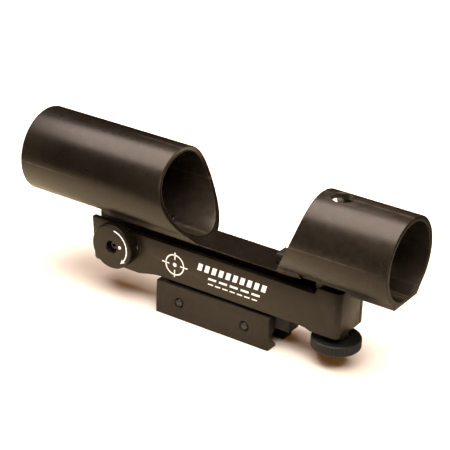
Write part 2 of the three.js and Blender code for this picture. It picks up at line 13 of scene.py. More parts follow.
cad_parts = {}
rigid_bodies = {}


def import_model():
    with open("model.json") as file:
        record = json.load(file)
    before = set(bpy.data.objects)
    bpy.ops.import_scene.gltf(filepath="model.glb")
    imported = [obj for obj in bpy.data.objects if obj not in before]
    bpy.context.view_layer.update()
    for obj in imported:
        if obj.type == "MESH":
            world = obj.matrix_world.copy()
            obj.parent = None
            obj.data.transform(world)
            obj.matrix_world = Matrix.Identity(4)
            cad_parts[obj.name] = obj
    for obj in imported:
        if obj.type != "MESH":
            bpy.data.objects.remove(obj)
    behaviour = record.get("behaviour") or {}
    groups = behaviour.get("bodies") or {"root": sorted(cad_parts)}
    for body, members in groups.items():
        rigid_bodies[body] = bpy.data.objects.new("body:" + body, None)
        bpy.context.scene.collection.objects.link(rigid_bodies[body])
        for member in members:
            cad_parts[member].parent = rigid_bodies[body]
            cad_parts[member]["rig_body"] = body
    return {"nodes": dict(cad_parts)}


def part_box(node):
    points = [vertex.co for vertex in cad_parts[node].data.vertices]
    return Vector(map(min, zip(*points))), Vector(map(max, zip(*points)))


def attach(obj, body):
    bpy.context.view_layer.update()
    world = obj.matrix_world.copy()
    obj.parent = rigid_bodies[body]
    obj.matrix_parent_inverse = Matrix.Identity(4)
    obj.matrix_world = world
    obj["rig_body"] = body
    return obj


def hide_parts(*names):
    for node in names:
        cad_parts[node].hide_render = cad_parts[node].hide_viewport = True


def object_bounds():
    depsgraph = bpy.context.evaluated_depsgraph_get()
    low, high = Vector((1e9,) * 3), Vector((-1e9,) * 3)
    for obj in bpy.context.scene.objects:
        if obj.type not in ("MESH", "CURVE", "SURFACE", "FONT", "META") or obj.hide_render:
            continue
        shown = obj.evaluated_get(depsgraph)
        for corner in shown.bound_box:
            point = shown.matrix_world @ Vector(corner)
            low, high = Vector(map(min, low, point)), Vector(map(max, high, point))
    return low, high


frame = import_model()
cad_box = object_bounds()

MM = 0.001
TUBE_FRONT = -94.7
tube_low, tube_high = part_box("sight_tube")
TUBE_R = (tube_high.y - tube_low.y) / 2 / MM
TUBE_REAR = TUBE_FRONT + (tube_high.x - tube_low.x) / MM
ORIGIN = Vector((tube_low.x - TUBE_FRONT * MM, 0, tube_high.z - TUBE_R * MM))
TO_FRAME = Matrix.Translation(ORIGIN) @ Matrix.Scale(MM, 4)


def drawn(node):
    """A CAD node's lowest and highest corners in the drawing's millimetres."""
    low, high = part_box(node)
    return (low - ORIGIN) / MM, (high - ORIGIN) / MM


# ------------------------------------------------------------------ camera
CAMERA_AZIMUTH = math.radians(32.772)
CAMERA_ELEVATION = math.radians(25.652)
CAMERA_ROLL = math.radians(2.452)
CAMERA_DISTANCE = 0.5928
LOOK_AT = ORIGIN + Vector((-14.259, 0, -8.515)) * MM
FOCAL_LENGTH = 133.7


def make_camera():
    sin_az, cos_az = math.sin(CAMERA_AZIMUTH), math.cos(CAMERA_AZIMUTH)
    sin_el, cos_el = math.sin(CAMERA_ELEVATION), math.cos(CAMERA_ELEVATION)
    back = Vector((sin_az * cos_el, -cos_az * cos_el, sin_el))
    level_right = Vector((cos_az, sin_az, 0))
    level_up = back.cross(level_right)
    right = level_right * math.cos(CAMERA_ROLL) + level_up * math.sin(CAMERA_ROLL)
    up = back.cross(right)
    data = bpy.data.cameras.new("camera")
    data.lens = FOCAL_LENGTH
    data.sensor_width = 36
    data.clip_start = 0.01
    camera = bpy.data.objects.new("camera", data)
    turn = Matrix((right, up, back)).transposed().to_4x4()
    camera.matrix_world = Matrix.Translation(LOOK_AT + back * CAMERA_DISTANCE) @ turn
    bpy.context.scene.collection.objects.link(camera)
    bpy.context.scene.camera = camera


make_camera()


# ------------------------------------------------------------------ materials
def link(tree, source, target):
    tree.links.new(source, target)


def noise_of(tree, coordinates, scale, detail=3.0):
    noise = tree.nodes.new("ShaderNodeTexNoise")
    noise.inputs["Scale"].default_value = scale
    noise.inputs["Detail"].default_value = detail
    link(tree, coordinates, noise.inputs["Vector"])
    return noise.outputs["Fac"]


def ranged(tree, value, source, target):
    """value carried from the source range to the target range."""
    node = tree.nodes.new("ShaderNodeMapRange")
    node.inputs["From Min"].default_value, node.inputs["From Max"].default_value = source
    node.inputs["To Min"].default_value, node.inputs["To Max"].default_value = target
    link(tree, value, node.inputs["Value"])
    return node.outputs["Result"]


def mixed(tree, share, first, second):
    """first and second are colours or sockets; share is a socket."""
    node = tree.nodes.new("ShaderNodeMix")
    node.data_type = "RGBA"
    link(tree, share, node.inputs["Factor"])
    for socket, value in ((node.inputs["A"], first), (node.inputs["B"], second)):
        if isinstance(value, tuple):
            socket.default_value = (*value, 1)
        else:
            link(tree, value, socket)
    return node.outputs["Result"]


def surface(name, base, patch, roughness, metallic=0.0, ior=1.5, grain=2600, grain_depth=0.012,
            patch_scale=60, wear=None, wear_share=0.5, stretch=(1, 1, 1), **constants):
    """A finish with fine grain, slow colour patches, uneven roughness and, where asked, worn edges.
    grain is the number of grains in a metre and grain_depth their height in millimetres."""
    material = bpy.data.materials.new(name)
    material.use_nodes = True
    tree = material.node_tree
    shader = tree.nodes["Principled BSDF"]
    shader.inputs["Metallic"].default_value = metallic
    shader.inputs["IOR"].default_value = ior
    for socket, value in constants.items():
        shader.inputs[socket.replace("_", " ")].default_value = value
    place = tree.nodes.new("ShaderNodeTexCoord").outputs["Object"]
    mapping = tree.nodes.new("ShaderNodeMapping")
    mapping.inputs["Scale"].default_value = stretch
    link(tree, place, mapping.inputs["Vector"])
    along = mapping.outputs["Vector"]
    slow = ranged(tree, noise_of(tree, along, patch_scale), (0.35, 0.65), (0, 1))
    colour = mixed(tree, slow, base, patch)
    fine = noise_of(tree, along, grain, 2.0)
    speck = ranged(tree, fine, (0.3, 0.7), (0, 0.35))
    colour = mixed(tree, speck, colour, patch)
    if wear:
        edge = tree.nodes.new("ShaderNodeNewGeometry").outputs["Pointiness"]
        broken = noise_of(tree, along, 380)
        sum_node = tree.nodes.new("ShaderNodeMath")
        sum_node.operation = "MULTIPLY"
        link(tree, ranged(tree, edge, (0.515, 0.57), (0, wear_share)), sum_node.inputs[0])
        link(tree, ranged(tree, broken, (0.3, 0.6), (0.4, 1)), sum_node.inputs[1])
        colour = mixed(tree, sum_node.outputs["Value"], colour, wear)
    link(tree, colour, shader.inputs["Base Color"])
    middle = noise_of(tree, along, 420)
    link(tree, ranged(tree, middle, (0.3, 0.7), roughness), shader.inputs["Roughness"])
    bump = tree.nodes.new("ShaderNodeBump")
    bump.inputs["Distance"].default_value = grain_depth * MM
    bump.inputs["Strength"].default_value = 0.6
    link(tree, fine, bump.inputs["Height"])
    link(tree, bump.outputs["Normal"], shader.inputs["Normal"])
    return material


ANODISED = surface("anodised", (0.0045, 0.0034, 0.0022), (0.007, 0.0055, 0.0038), (0.27, 0.34), ior=1.5,
                   wear=(0.10, 0.085, 0.065), wear_share=0.35, Specular_Tint=(1.0, 0.9, 0.82, 1))
ANODISED_BODY = surface("anodised_body", (0.0045, 0.0034, 0.0022), (0.007, 0.0055, 0.0038), (0.30, 0.38),
                        ior=1.43, wear=(0.07, 0.06, 0.045), wear_share=0.25,
                        Specular_Tint=(1.0, 0.9, 0.82, 1))
ANODISED_JAW = surface("anodised_jaw", (0.0045, 0.0034, 0.0022), (0.007, 0.0055, 0.0038), (0.32, 0.42),
                       ior=1.38, wear=(0.07, 0.06, 0.045), wear_share=0.2,
                       Specular_Tint=(1.0, 0.9, 0.82, 1))
ANODISED_ARM = surface("anodised_arm", (0.004, 0.0034, 0.0026), (0.007, 0.006, 0.0048), (0.34, 0.44),
                       ior=1.45, wear=(0.07, 0.06, 0.045), wear_share=0.2)
ANODISED_DARK = surface("anodised_dark", (0.003, 0.0027, 0.0022), (0.0055, 0.005, 0.0045), (0.48, 0.6),
                        ior=1.28, wear=(0.08, 0.075, 0.07), wear_share=0.3)
KNOB_BLACK = surface("knob_black", (0.006, 0.007, 0.0065), (0.010, 0.0115, 0.011), (0.42, 0.55), ior=1.45,
                     grain=3400, wear=(0.07, 0.075, 0.072), wear_share=0.5)
SCREW_BLACK = surface("screw_black", (0.028, 0.026, 0.024), (0.045, 0.042, 0.038), (0.3, 0.42),
                      metallic=0.7, wear=(0.22, 0.21, 0.2), wear_share=0.5)
STEEL = surface("steel", (0.46, 0.46, 0.46), (0.56, 0.56, 0.57), (0.22, 0.34), metallic=1.0, grain=5200,
                grain_depth=0.004)
BRASS = surface("brass", (0.50, 0.34, 0.12), (0.62, 0.45, 0.19), (0.24, 0.36), metallic=1.0, grain=5200,
                grain_depth=0.004)
NICKEL = surface("nickel", (0.62, 0.62, 0.64), (0.72, 0.72, 0.73), (0.14, 0.24), metallic=1.0, grain=6000,
                 grain_depth=0.003)
PLASTIC = surface("plastic", (0.010, 0.009, 0.007), (0.015, 0.0135, 0.011), (0.5, 0.62), ior=1.38,
                  grain=1800)
BOARD = surface("board", (0.012, 0.09, 0.035), (0.02, 0.13, 0.055), (0.3, 0.42), grain=900,
                grain_depth=0.02)
PRINT = surface("print_white", (0.74, 0.74, 0.72), (0.84, 0.84, 0.82), (0.5, 0.6), grain=4200,
                grain_depth=0.006)
LED_RED = surface("led_red", (0.32, 0.006, 0.008), (0.5, 0.012, 0.012), (0.08, 0.14), grain=900,
                  grain_depth=0.002, Transmission_Weight=0.5)
LENS_GLASS = surface("lens_glass", (0.93, 0.80, 0.72), (0.96, 0.86, 0.78), (0.01, 0.03), ior=1.52,
                     grain=300, grain_depth=0.0004, Transmission_Weight=1.0,
                     Coat_Weight=0.6, Coat_IOR=1.7,
                     Coat_Tint=(1.0, 0.55, 0.35, 1.0))

# ------------------------------------------------------------------ solids
PAST = 1.0           # how far a cutting tool reaches past the face it cuts
EDGE = 0.28          # rounding of machined edges


def object_of(name, bm):
    bmesh.ops.recalc_face_normals(bm, faces=bm.faces)
    mesh = bpy.data.meshes.new(name)
    bm.to_mesh(mesh)
    bm.free()
    obj = bpy.data.objects.new(name, mesh)
    bpy.context.scene.collection.objects.link(obj)
    return obj


def settle(obj):
    """Replaces an object's mesh by what its modifiers make of it."""
    graph = bpy.context.evaluated_depsgraph_get()
    mesh = bpy.data.meshes.new_from_object(obj.evaluated_get(graph))
    obj.modifiers.clear()
    obj.data = mesh
    return obj


def combine(obj, tools, operation):
    for tool in tools:
        modifier = obj.modifiers.new("combine", "BOOLEAN")
        modifier.operation = operation
        modifier.solver = "EXACT"
        modifier.object = tool
    settle(obj)
    for tool in tools:
        bpy.data.objects.remove(tool)
    return obj


def carve(obj, *tools):
    return combine(obj, tools, "DIFFERENCE")


def weld(obj, *others):
    return combine(obj, others, "UNION")


def rounded(points, radius, steps=4, closed=False):
    """The points of a broken line with each corner replaced by a small arc."""
    count = len(points)
    result = []
    for index, (u, v) in enumerate(points):
        if not closed and index in (0, count - 1):
            result.append((u, v))
            continue
        (u0, v0), (u1, v1) = points[index - 1], points[(index + 1) % count]
        before = math.hypot(u0 - u, v0 - v)
        after = math.hypot(u1 - u, v1 - v)
        reach = min(radius, before * 0.45, after * 0.45)
        start = (u + (u0 - u) * reach / before, v + (v0 - v) * reach / before)
        end = (u + (u1 - u) * reach / after, v + (v1 - v) * reach / after)
        for step in range(steps + 1):
            t = step / steps
            weights = ((1 - t) ** 2, 2 * t * (1 - t), t * t)
            result.append(tuple(weights[0] * a + weights[1] * b + weights[2] * c
                                for a, b, c in zip(start, (u, v), end)))
    return result


def placed(axis, centre):
    """Lays a solid drawn round Z along an axis through centre, given in the other two directions."""
    quarter = math.pi / 2
    if axis == "x":
        return Matrix.Translation((0, *centre)) @ Matrix.Rotation(quarter, 4, "Y")
    if axis == "y":
        return Matrix.Translation((centre[0], 0, centre[1])) @ Matrix.Rotation(-quarter, 4, "X")
    return Matrix.Translation((*centre, 0))


def spin(name, axis, centre, profile, segments=96, closed=False, ripple=None):
    """A solid of revolution from (radius, height) points. ripple changes the radius at each angle."""
    bm = bmesh.new()
    rings = []
    for radius, height in profile:
        if radius < 1e-6:
            rings.append([bm.verts.new((0, 0, height))])
            continue
        ring = []
        for index in range(segments):
            angle = 2 * math.pi * index / segments
            r = ripple(angle, radius, height) if ripple else radius
            ring.append(bm.verts.new((r * math.cos(angle), r * math.sin(angle), height)))
        rings.append(ring)
    pairs = list(zip(rings, rings[1:]))
    if closed:
        pairs.append((rings[-1], rings[0]))
    for lower, upper in pairs:
        for index in range(segments):
            after = (index + 1) % segments
            corners = [lower[index % len(lower)], lower[after % len(lower)],
                       upper[after % len(upper)], upper[index % len(upper)]]
            distinct = list(dict.fromkeys(corners))
            if len(distinct) > 2:
                bm.faces.new(distinct)
    bm.transform(placed(axis, centre))
    return object_of(name, bm)


def disc(name, axis, centre, points, edge=EDGE, **options):
    """A turned solid whose corners are softened."""
    return spin(name, axis, centre, rounded(points, edge, 3), **options)


def tube_ring(name, axis, centre, outer, inner, low, high, edge=0.15, **options):
    points = [(inner, low), (outer, low), (outer, high), (inner, high)]
    return spin(name, axis, centre, rounded(points, edge, 2, closed=True), closed=True, **options)


def drill(axis, centre, radius, low, high, mouths=(), flare=0.2, segments=64):
    """A round cutting tool from low to high that also breaks the edge where it passes a mouth.
    mouths are heights; those nearer to low open downwards."""
    points = [(0, low), (radius, low), (radius, high), (0, high)]
    for mouth in mouths:
        if abs(mouth - low) < abs(mouth - high):
            points[1:2] = [(radius + flare + mouth - low, low), (radius, mouth + flare)]
        else:
            at = len(points) - 2
            points[at:at + 1] = [(radius, mouth - flare), (radius + flare + high - mouth, high)]
    return spin("tool", axis, centre, points, segments=segments)


def lifted(plane, point, depth):
    u, v = point
    return {"xz": (u, depth, v), "yz": (depth, u, v), "xy": (u, v, depth)}[plane]


def soften(bm, edge, angle=25, segments=2, chosen=None):
    """Rounds the sharp edges of a simple solid."""
    wanted = [e for e in bm.edges if len(e.link_faces) == 2
              and e.calc_face_angle(0) > math.radians(angle) and (chosen is None or chosen(e))]
    bmesh.ops.bevel(bm, geom=wanted, offset=edge, segments=segments, profile=0.5, affect="EDGES",
                    clamp_overlap=True)


def prism_mesh(outline, span, plane):
    bm = bmesh.new()
    low, high = ([bm.verts.new(lifted(plane, point, depth)) for point in outline] for depth in span)
    bm.faces.new(low)
    bm.faces.new(high)
    for index in range(len(outline)):
        after = (index + 1) % len(outline)
        bm.faces.new((low[index], low[after], high[after], high[index]))
    bmesh.ops.recalc_face_normals(bm, faces=bm.faces)
    return bm


def prism(name, outline, span, plane, edge=EDGE, angle=25):
    bm = prism_mesh(outline, span, plane)
    if edge:
        soften(bm, edge, angle)
    return object_of(name, bm)


def block(name, x, y, z, edge=0.0):
    return prism(name, [(x[0], z[0]), (x[1], z[0]), (x[1], z[1]), (x[0], z[1])], y, "xz", edge)


def knurled(teeth, depth, radius, low, high):
    """Straight V grooves round a wheel between two heights, fading out at both ends."""
    def ripple(angle, r, height):
        if r < radius - 0.5 or not low <= height <= high:
            return r
        fade = min(1, (height - low) / 0.35, (high - height) / 0.35)
        groove = abs((angle * teeth / (2 * math.pi)) % 1 * 2 - 1)
        return r - depth * groove * fade
    return ripple


def show(obj, node, slot, material, *more_nodes, smooth=32):
    """Finishes a piece that stands for a CAD node, and rides on that node's body."""
    obj.data.transform(TO_FRAME)
    obj.data.shade_smooth()
    obj.data.set_sharp_from_angle(angle=math.radians(smooth))
    obj.data.materials.clear()
    obj.data.materials.append(material)
    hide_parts(node, *more_nodes)
    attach(obj, frame["nodes"][node]["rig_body"])
    return obj


# ------------------------------------------------------------------ sight tube
BORE_R = 14.0
FLAT_Z = drawn("sight_tube")[0].z
FLAT_HALF = 7.8
FLANK = (10.5, -12.07)
FLAT_FRONT = -61.7
STRIP_TOP = -14.7
STRIP_FAR = 5.6
SWING_X = 32.5
KEEL_SCREWS = (-48.0, -38.0)
WINDOWS = {"front": (-33.6, 12.0, 0.0178), "rear": (24.4, 15.5, -0.013)}
TUBE_FACETS = 216
LIP = 0.35           # softened edges of the tube's ends and of the window


def window_x(end, z):
    start, from_z, rate = WINDOWS[end]
    return start + rate * max(0.0, from_z - z) ** 2


def outside_radius(angle, flank):
    """How far the extrusion reaches in a direction round the axis, 0 at +Y and a quarter turn at +Z."""
    across, up = math.cos(angle), math.sin(angle)
    if up >= 0:
        return TUBE_R
    round_radius = min(TUBE_R, FLAT_Z / up)
    if not flank(across):
        return round_radius
    side = abs(across)
    (y0, z0), (y1, z1) = FLANK, (FLAT_HALF, FLAT_Z)
    below = side * abs(FLAT_Z) / max(1e-9, -up)
    if below <= FLAT_HALF:
        return FLAT_Z / up
    along = side * (z1 - z0) - up * (y1 - y0)
    reach = (y0 * (z1 - z0) - z0 * (y1 - y0)) / along
    return max(round_radius, reach) if -reach * side >= -y0 else round_radius


def tube_angles():
    """Even directions round the axis, with the extrusion's own corners among them."""
    corners = [math.atan2(z, side * y) % (2 * math.pi) for side in (-1, 1)
               for y, z in (FLANK, (FLAT_HALF, FLAT_Z), (math.sqrt(TUBE_R ** 2 - FLAT_Z ** 2), FLAT_Z))]
    even = [2 * math.pi * index / TUBE_FACETS for index in range(TUBE_FACETS)]
    apart = 0.4 * 2 * math.pi / TUBE_FACETS
    kept = [a for a in even if min(abs(a - c) for c in corners) > apart]
    return sorted(kept + corners)


def shell(name, section):
    """A closed ring of wall: section(angle) gives the loop of (x, radius) points in that direction."""
    bm = bmesh.new()
    loops = []
    for angle in tube_angles():
        loops.append([bm.verts.new((x, r * math.cos(angle), r * math.sin(angle)))
                      for x, r in section(angle)])
    for loop, after in zip(loops, loops[1:] + loops[:1]):
        for index in range(len(loop)):
            nxt = (index + 1) % len(loop)
            bm.faces.new((loop[index], loop[nxt], after[nxt], after[index]))
    return object_of(name, bm)


def arc(centre, radius, start, end, steps=3):
    """Points of a circular arc in the (x, radius) plane, with angles in degrees."""
    return [(centre[0] + radius * math.cos(math.radians(start + (end - start) * k / steps)),
             centre[1] + radius * math.sin(math.radians(start + (end - start) * k / steps)))
            for k in range(steps + 1)]


def wall_loop(square_end, step, cut_end, angle, outer_plain, outer_foot):
    """The wall's section from its square end to its window edge, with softened corners.
    step is where the flat foot starts, or None; side is +1 where the square end is at the low end."""
    side = 1 if square_end < 0 else -1
    up = math.sin(angle)
    c = LIP
    outer_end = outer_foot if side > 0 else outer_plain

    def edge(radius):
        return window_x(cut_end, radius * up)

    points = [(square_end, BORE_R + c), (square_end, outer_plain - c)]
    points += [(square_end + side * c * (1 - math.cos(t)), outer_plain - c + c * math.sin(t))
               for t in (math.pi / 6, math.pi / 3, math.pi / 2)]
    if step is not None:
        points += [(step, outer_plain), (step + 0.02, outer_end)]
    points += [(edge(outer_end) - side * c, outer_end)]
    points += [(edge(outer_end - c * (1 - math.cos(t))) - side * c * (1 - math.sin(t)),
                outer_end - c * (1 - math.cos(t))) for t in (math.pi / 6, math.pi / 3, math.pi / 2)]
    points += [(edge(BORE_R + c * math.cos(t)) - side * c * (1 - math.cos(math.pi / 2 - t)),
                BORE_R + c * (1 - math.sin(t))) for t in (0, math.pi / 6, math.pi / 3)]
    points += [(edge(BORE_R) - side * c, BORE_R)]
    points += [(square_end + side * c, BORE_R),
               (square_end + side * c * 0.5, BORE_R + c * 0.13),
               (square_end + side * c * 0.13, BORE_R + c * 0.5)]
    return points


def make_sight_tube():
    def no_flank(across):
        return False

    def near_flank(across):
        return across < 0

    def both_flanks(across):
        return True

    def front_section(angle):
        plain = outside_radius(angle, no_flank)
        foot = outside_radius(angle, near_flank)
        return wall_loop(TUBE_FRONT, FLAT_FRONT, "front", angle, plain, foot)

    def rear_section(angle):
        full = outside_radius(angle, both_flanks)
        return wall_loop(TUBE_REAR, None, "rear", angle, full, full)

    tube = shell("sight_tube_body", front_section)
    rear = shell("rear", rear_section)
    tiny = 0.02
    near_top = FLANK[0] + (FLAT_HALF - FLANK[0]) * (STRIP_TOP - FLANK[1]) / (FLAT_Z - FLANK[1])
    strip = prism("strip", [(tiny - near_top, STRIP_TOP), (tiny - FLAT_HALF, FLAT_Z + tiny),
                            (STRIP_FAR, FLAT_Z + tiny), (STRIP_FAR, STRIP_TOP)],
                  (-26.0, 17.5), "yz", 0)
    weld(tube, strip, rear)
    half, outer, end_r = 8.2, 13.0, 2.0
    low, high, far = -18.0, -11.7, 42.0
    room = [block("tool", (20.9, far), (-half, half), (low, -14.6))]
    for side in (-1, 1):
        corner = [(22.8, low), (far, low)]
        corner += arc((far - end_r, high - end_r), end_r, 0, 90, 6)
        corner += [(22.8, high)]
        across = sorted((side * half - side * PAST, side * outer))
        room.append(prism("tool", corner, across, "xz", 0))
    holes = [drill("z", (SWING_X, 0), 4, 5, TUBE_R + 0.6, mouths=(TUBE_R - 0.3,), flare=0.25,
                   segments=96),
             drill("z", (SWING_X, 0), 2.3, -18, -10),
             drill("z", (19.5, 0), 1.1, -18, -12)]
    holes += [drill("z", (x, 0), 1.1, -17, -12) for x in KEEL_SCREWS]
    carve(tube, *room, *holes)
    return show(tube, "sight_tube", "anodised", ANODISED, smooth=28)


make_sight_tube()


# ------------------------------------------------------------------ optics
def make_optics():
    lens_low, lens_high = drawn("objective_lens")
    x = (lens_low.x + lens_high.x) / 2
    radius, rim, bulge = 13.6, 1.0, 0.7
    steps = 10
    front = [(radius * k / steps, -rim - bulge * (1 - (k / steps) ** 2)) for k in range(steps + 1)]
    back = [(radius * k / steps, rim + bulge * (1 - (k / steps) ** 2)) for k in range(steps, -1, -1)]
    lens = spin("objective_lens_glass", "z", (0, 0), front + back, segments=128)
    lens.data.transform(Matrix.Translation((x, 0, 0)) @ Matrix.Rotation(math.pi / 2 + 0.035, 4, "Y"))
    show(lens, "objective_lens", "lens_glass", LENS_GLASS)
    for node in ("lens_front_ring", "lens_seat_ring"):
        low, high = drawn(node)
        ring = tube_ring(node + "_turned", "x", (0, 0), high.z, 12.0, low.x, high.x, 0.25, segments=128)
        if node == "lens_front_ring":
            notches = [block("tool", (low.x - PAST, low.x + 0.8), span, (-0.6, 0.6))
                       for span in ((11, 14.5), (-14.5, -11))]
            carve(ring, *notches)
        show(ring, node, "anodised_dark", ANODISED_DARK)


make_optics()


# ------------------------------------------------------------------ LED block
def make_led():
    low, high = drawn("led_housing")
    axis = (0, -12.6)
    foot_top = -13.2
    base = -13.45
    section = [(low.y, base), (high.y, base), (high.y, high.z), (low.y, high.z)]
    body = prism("led_housing_body", rounded(section, 1.3, 6, closed=True), (low.x, high.x), "yz", 0.2)
    foot = block("foot", (low.x, low.x + 2.6), (low.y, high.y), (low.z, foot_top), 0.1)
    weld(body, foot)
    carve(body, drill("x", axis, 1.35, low.x - PAST, 15.2, mouths=(low.x,), flare=0.25),
          drill("x", axis, 0.6, 15, high.x + PAST, mouths=(high.x,), flare=0.15))
    show(body, "led_housing", "plastic", PLASTIC)
    dome = [(0, 10.6), (0.35, 10.66), (0.65, 10.83), (0.87, 11.1), (0.97, 11.4), (1, 11.8), (1.2, 11.9),
            (1.2, 15), (0, 15)]
    show(spin("led_bulb", "x", axis, dome, segments=48), "led", "led_red", LED_RED)
    disc_low, disc_high = drawn("pinhole_disc")
    pinhole = tube_ring("pinhole_disc_turned", "x", axis, 1.3, 0.3, disc_low.x, disc_high.x, 0.06,
                        segments=64)
    show(pinhole, "pinhole_disc", "steel", STEEL)


make_led()

# ------------------------------------------------------------------ housing
HOUSE_LOW, HOUSE_HIGH = drawn("housing")
HOUSE_HALF = -HOUSE_LOW.y
WALL = 1.95
CORNER_R = 2.4
ADJUST_Z = -25.0
AZ_X, TILT_X, ALT_X = -55.2, -48.5, 33.8
BATTERY = (-8.0, -26.1)
CELL_SEAT_R = 5.25
COVER_SCREWS = (-18.5, 33.2)
DIMMER = (14.0, -26.1)
BASE_SCREWS = (-20.0, -5.0)


def make_housing():
    left, right = HOUSE_LOW.x, HOUSE_HIGH.x
    outline = [(left, -17.8), (left + 1.4, -34.2), (left + 2.2, -34.9), (-46, -34.9), (-41, -33.7),
               (-37.5, -33.1), (22.2, -33.1), (25, -33.4), (27.2, -34.1), (right, -34.1), (right, -16.6),
               (29.2, -16.6), (28.2, -19.1), (-57, -19.1), (-58.5, -17.8)]
    bm = prism_mesh(outline, (-HOUSE_HALF, HOUSE_HALF), "xz")

    def rear_corner(e):
        return all(abs(v.co.x - right) < 1e-6 and v.co.y < 0 for v in e.verts)

    soften(bm, CORNER_R, segments=10, chosen=rear_corner)
    soften(bm, 0.25, angle=28)
    body = object_of("housing_body", bm)
    inner = HOUSE_HALF - WALL
    channel = block("tool", (left - PAST, 36.9), (-inner, inner), (-31.1, -10))
    carve(body, channel)
    through = (-HOUSE_HALF - PAST, HOUSE_HALF + PAST)
    carve(body,
          drill("y", BATTERY, CELL_SEAT_R, 7.3, HOUSE_HALF + PAST, mouths=(HOUSE_HALF,), segments=96),
          drill("y", BATTERY, 1.2, inner - PAST, 8),
          drill("y", DIMMER, 1.8, inner - PAST, HOUSE_HALF + PAST, mouths=(HOUSE_HALF,)),
          drill("y", (TILT_X, ADJUST_Z), 1.55, *through, mouths=(-HOUSE_HALF, HOUSE_HALF)),
          drill("y", (AZ_X, ADJUST_Z), 3.05, -HOUSE_HALF - PAST, -inner + PAST, mouths=(-HOUSE_HALF,)),
          drill("y", (AZ_X, ADJUST_Z), 1.6, inner - PAST, 7),
          drill("z", (ALT_X, 0), 3.05, -36, -30, mouths=(-34.1,)),
          *[drill("y", (x, BATTERY[1]), 1.1, inner - PAST, HOUSE_HALF + PAST) for x in COVER_SCREWS],
          *[drill("z", (x, 0), 1.65, -36, -30) for x in BASE_SCREWS])
    show(body, "housing", "anodised", ANODISED_BODY, smooth=28)


make_housing()


def make_side_cover():
    low, high = drawn("side_cover")
    right, bottom, chamfer = high.x, -33.1, 1.5
    outline = [(low.x, high.z - chamfer), (low.x, bottom + chamfer), (low.x + chamfer, bottom),
               (22.2, bottom), (25, -33.4), (27.2, low.z), (right, low.z), (right, high.z),
               (low.x + chamfer, high.z)]
    bm = prism_mesh(outline, (low.y, high.y), "xz")

    def rear_corner(e):
        return all(abs(v.co.x - right) < 1e-6 and v.co.y > low.y + 1 for v in e.verts)

    soften(bm, CORNER_R, segments=10, chosen=rear_corner)
    soften(bm, 0.3, angle=28)
    cover = object_of("side_cover_body", bm)
    past = (low.y - PAST, high.y + PAST)
    head_seat = high.y - 1.35
    carve(cover,
          drill("y", BATTERY, CELL_SEAT_R, *past, mouths=(high.y,), segments=96),
          drill("y", DIMMER, 1.8, *past, mouths=(high.y,)),
          *[drill("y", (x, BATTERY[1]), 1.1, *past) for x in COVER_SCREWS],
          *[drill("y", (x, BATTERY[1]), 2.0, head_seat, past[1], mouths=(high.y,)) for x in COVER_SCREWS])
    show(cover, "side_cover", "anodised", ANODISED_BODY, smooth=28)
    for index, x in enumerate(COVER_SCREWS):
        node = f"cover_screw_{index + 1}"
        low, high = drawn(node)
        neck = head_seat + 0.05
        screw = disc(node + "_turned", "y", (x, BATTERY[1]), [
            (0, low.y), (1, low.y), (1, neck), (1.9, neck), (1.9, high.y), (0, high.y)], 0.2, segments=64)
        carve(screw, block("tool", (x - 3, x + 3), (high.y - 0.5, high.y + PAST),
                           (BATTERY[1] - 0.25, BATTERY[1] + 0.25)))
        show(screw, node, "screw_black", SCREW_BLACK)


make_side_cover()


# ------------------------------------------------------------------ knobs
def make_azimuth_knob():
    low, high = drawn("azimuth_knob")
    radius = high.z - ADJUST_Z
    face, back = low.y, high.y
    teeth = 68
    profile = [(0, face), (radius - 0.45, face), (radius, face + 0.45)]
    profile += [(radius, face + 0.9 + k * (back - 0.9 - face) / 6) for k in range(1, 6)]
    profile += [(radius, back - 0.4), (radius - 0.4, back), (0, back)]
    knob = spin("azimuth_knob_body", "y", (AZ_X, ADJUST_Z), rounded(profile, 0.15, 2), segments=teeth * 6,
                ripple=knurled(teeth, 0.28, radius, face + 0.75, back - 0.3))
    carve(knob, drill("y", (AZ_X, ADJUST_Z), 2.3, face - PAST, -9.6, mouths=(face,), flare=0.3),
          drill("y", (AZ_X, ADJUST_Z), 1.55, -10, -7))
    show(knob, "azimuth_knob", "anodised", ANODISED_BODY)
    screw_low, screw_high = drawn("azimuth_screw")
    screw = disc("azimuth_screw_turned", "y", (AZ_X, ADJUST_Z),
                 [(0, screw_low.y), (1.5, screw_low.y), (1.5, screw_high.y), (0, screw_high.y)], 0.2,
                 segments=48)
    carve(screw, spin("tool", "y", (AZ_X, ADJUST_Z), [(0, screw_low.y - PAST), (0.8, screw_low.y - PAST),
                                                     (0.8, screw_low.y + 0.9), (0, screw_low.y + 0.9)],
                      segments=6))
    show(screw, "azimuth_screw", "screw_black", SCREW_BLACK)


def make_altitude_knob():
    low, high = drawn("altitude_knob")
    radius = high.y
    top, bottom = -36.7, low.z
    teeth = 76
    profile = [(0, bottom + 0.5), (4.5, bottom + 0.5), (5.2, bottom), (radius - 0.6, bottom),
               (radius, bottom + 0.6)]
    profile += [(radius, bottom + 0.6 + k * (top - bottom - 1.1) / 6) for k in range(1, 6)]
    profile += [(radius, top - 0.5), (radius - 0.5, top), (4, top), (4, high.z), (0, high.z)]
    knob = spin("altitude_knob_body", "z", (ALT_X, 0), rounded(profile, 0.15, 2), segments=teeth * 6,
                ripple=knurled(teeth, 0.3, radius, bottom + 0.5, top - 0.35))
    carve(knob, drill("z", (ALT_X, 0), 1.55, -39, -30))
    show(knob, "altitude_knob", "knob_black", KNOB_BLACK)


make_azimuth_knob()
make_altitude_knob()


